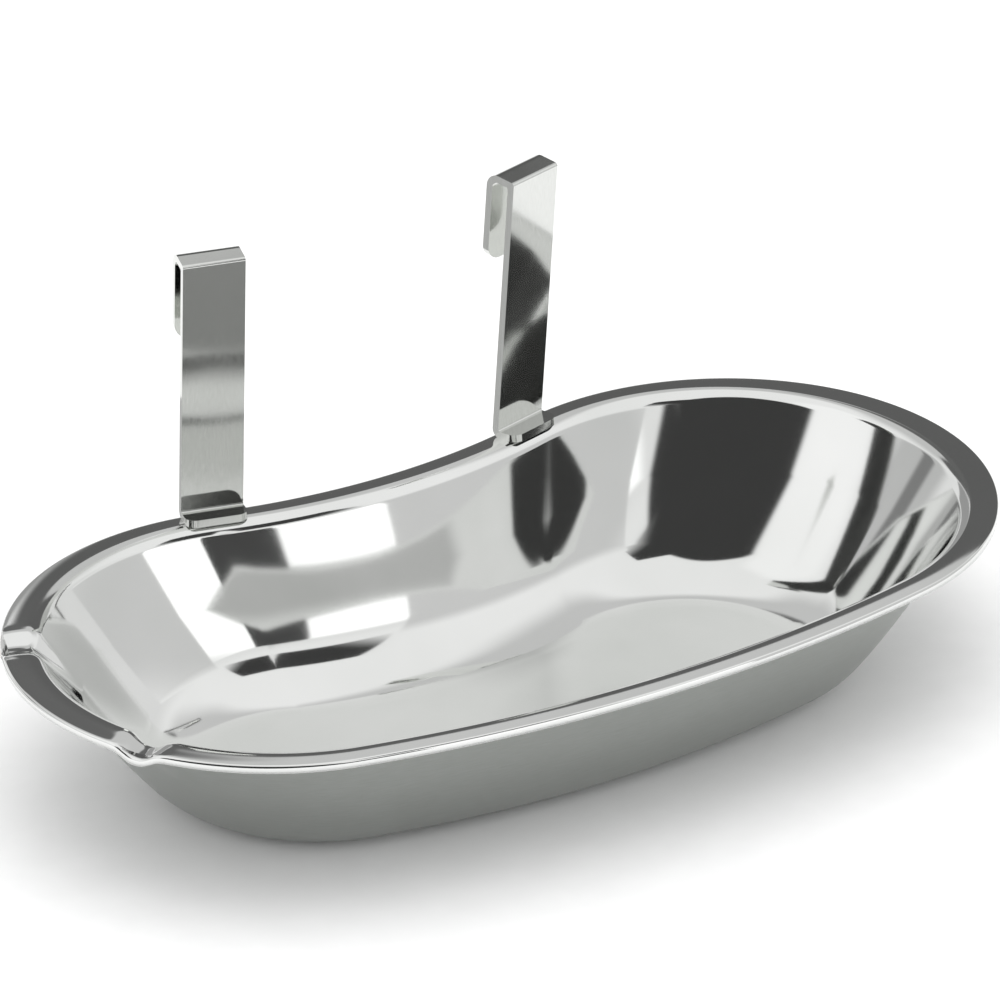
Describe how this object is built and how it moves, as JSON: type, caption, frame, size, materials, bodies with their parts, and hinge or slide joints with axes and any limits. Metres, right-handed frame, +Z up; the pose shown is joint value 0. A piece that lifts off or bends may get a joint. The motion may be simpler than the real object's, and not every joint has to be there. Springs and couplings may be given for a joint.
{
  "type": "kidney-shaped hanging basin",
  "caption": "Kidney-shaped polished steel basin with a flat flange, a pouring lip at one end and bent flat-bar hooks welded to its hollow side to hang it from a rail.",
  "frame": {"origin": "on the underside of the flat base, midway between the centres of the two round ends", "axes": "+X along the basin's length away from the pouring lip, +Y towards the hollow side that carries the hooks, +Z up"},
  "size_m": [0.415, 0.224, 0.1807],
  "materials": {
    "basin_steel": "stainless steel sheet, mirror polished inside and on the flange, satin outside",
    "hook_steel": "stainless steel flat bar, polished",
    "weld_steel": "stainless weld metal, ground flush"
  },
  "bodies": {
    "root": {"basin": "basin_steel", "left_hook": "hook_steel", "right_hook": "hook_steel", "left_hook_weld_a": "weld_steel", "left_hook_weld_b": "weld_steel", "right_hook_weld_a": "weld_steel", "right_hook_weld_b": "weld_steel"}
  },
  "joints": []
}
